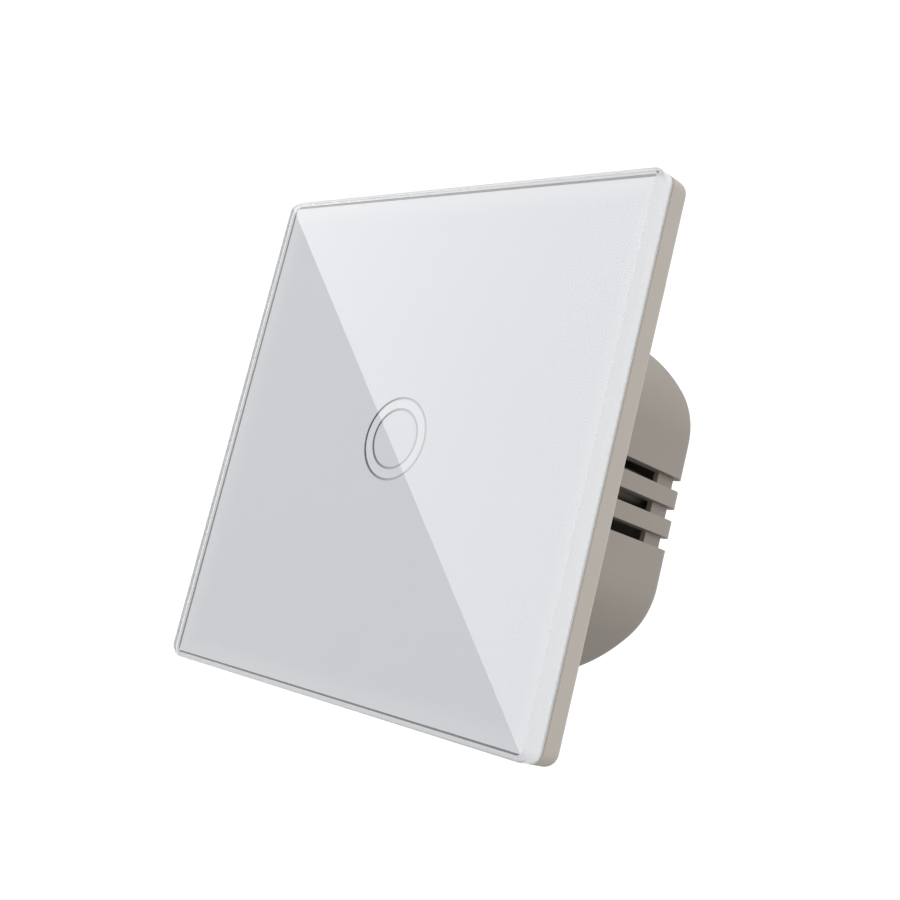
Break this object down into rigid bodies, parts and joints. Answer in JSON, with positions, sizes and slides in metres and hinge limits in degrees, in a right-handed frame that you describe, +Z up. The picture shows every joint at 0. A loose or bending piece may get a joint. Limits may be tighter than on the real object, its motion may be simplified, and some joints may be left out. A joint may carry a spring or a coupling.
{
  "type": "touch light switch",
  "caption": "Square touch light switch with a white glass panel, a ring mark and a deep round housing for a flush wall box.",
  "frame": {"origin": "centre of the wall plane, on the back face of the mounting plate", "axes": "+X right seen from the front, +Y back into the wall, +Z up; the glass faces -Y"},
  "size_m": [0.08, 0.041, 0.08],
  "materials": {
    "float_glass": "polished",
    "white_enamel": "gloss",
    "ring_ink": "matte",
    "foam_tape": "matte",
    "frame_moulding": "satin",
    "cover_moulding": "matte",
    "clear_acrylic": "polished",
    "lamp_resin": "gloss",
    "copper_foil": "satin",
    "circuit_board": "satin",
    "black_resin": "matte",
    "tinned_metal": "satin",
    "zinc_plate": "satin",
    "galvanised_steel": "satin",
    "housing_moulding": "matte",
    "relay_moulding": "satin",
    "relay_iron": "satin",
    "bobbin_nylon": "matte",
    "enamelled_copper": "gloss",
    "spring_bronze": "satin",
    "film_box": "gloss",
    "can_sleeve": "satin",
    "black_rubber": "matte",
    "ferrite": "matte",
    "winding_tape": "gloss",
    "fuse_ceramic": "satin",
    "varistor_epoxy": "gloss",
    "resistor_body": "satin",
    "terminal_moulding": "matte",
    "terminal_copper": "satin",
    "clamp_steel": "satin"
  },
  "bodies": {
    "chassis": {"mounting_plate": "galvanised_steel", "front_cover": "cover_moulding", "light_guide": "clear_acrylic", "indicator_leds": "lamp_resin", "touch_electrode": "copper_foil", "sensor_board": "circuit_board", "touch_chip": "black_resin", "header_base": "black_resin", "header_pins": "tinned_metal", "housing_screws": "zinc_plate", "rear_housing": "housing_moulding", "power_board": "circuit_board", "board_screws": "zinc_plate", "socket_header": "black_resin", "relay_base": "relay_moulding", "relay_cover": "relay_moulding", "relay_bobbin": "bobbin_nylon", "relay_winding": "enamelled_copper", "relay_core": "relay_iron", "relay_yoke": "relay_iron", "relay_coil_pins": "tinned_metal", "relay_fixed_contact": "spring_bronze", "film_capacitor": "film_box", "electrolytic_can": "can_sleeve", "electrolytic_seal": "black_rubber", "transformer_core": "ferrite", "transformer_bobbin": "bobbin_nylon", "transformer_winding": "winding_tape", "line_fuse": "fuse_ceramic", "varistor": "varistor_epoxy", "bridge_rectifier": "black_resin", "resistors": "resistor_body", "filter_inductor": "ferrite", "terminal_block": "terminal_moulding", "terminal_tongues": "terminal_copper"},
    "panel": {"glass_panel": "float_glass", "glass_print": "white_enamel", "ring_mark": "ring_ink", "adhesive_frame": "foam_tape", "panel_frame": "frame_moulding"},
    "armature": {"relay_armature": "relay_iron", "relay_contact_leaf": "spring_bronze"},
    "clamp_screw_1": {"terminal_screw_1": "clamp_steel"},
    "clamp_cage_1": {"terminal_cage_1": "clamp_steel"},
    "clamp_screw_2": {"terminal_screw_2": "clamp_steel"},
    "clamp_cage_2": {"terminal_cage_2": "clamp_steel"},
    "clamp_screw_3": {"terminal_screw_3": "clamp_steel"},
    "clamp_cage_3": {"terminal_cage_3": "clamp_steel"}
  },
  "joints": [
    {"name": "panel_pull", "type": "slide", "parent": "chassis", "child": "panel", "axis": [0, -1, 0], "range_m": [0, 0.03]},
    {"name": "armature_pivot", "type": "hinge", "parent": "chassis", "child": "armature", "pos_m": [-0.008, 0.0043, 0.01176], "axis": [0, 0, 1], "range_deg": [0, 3.6], "stiffness_Nm_per_rad": 0.002, "springref_deg": -5.73},
    {"name": "screw_turn_1", "type": "hinge", "parent": "chassis", "child": "clamp_screw_1", "pos_m": [-0.0065, 0.0311, -0.01697], "axis": [0, -1, 0], "range_deg": [0, 2160]},
    {"name": "cage_rise_1", "type": "slide", "parent": "chassis", "child": "clamp_cage_1", "axis": [0, 1, 0], "range_m": [0, 0.003]},
    {"name": "screw_turn_2", "type": "hinge", "parent": "chassis", "child": "clamp_screw_2", "pos_m": [0, 0.0311, -0.01697], "axis": [0, -1, 0], "range_deg": [0, 2160]},
    {"name": "cage_rise_2", "type": "slide", "parent": "chassis", "child": "clamp_cage_2", "axis": [0, 1, 0], "range_m": [0, 0.003]},
    {"name": "screw_turn_3", "type": "hinge", "parent": "chassis", "child": "clamp_screw_3", "pos_m": [0.0065, 0.0311, -0.01697], "axis": [0, -1, 0], "range_deg": [0, 2160]},
    {"name": "cage_rise_3", "type": "slide", "parent": "chassis", "child": "clamp_cage_3", "axis": [0, 1, 0], "range_m": [0, 0.003]}
  ],
  "couplings": [
    {"joint": "screw_turn_1", "follows": "cage_rise_1", "rad_per_m": 12566},
    {"joint": "screw_turn_2", "follows": "cage_rise_2", "rad_per_m": 12566},
    {"joint": "screw_turn_3", "follows": "cage_rise_3", "rad_per_m": 12566}
  ]
}
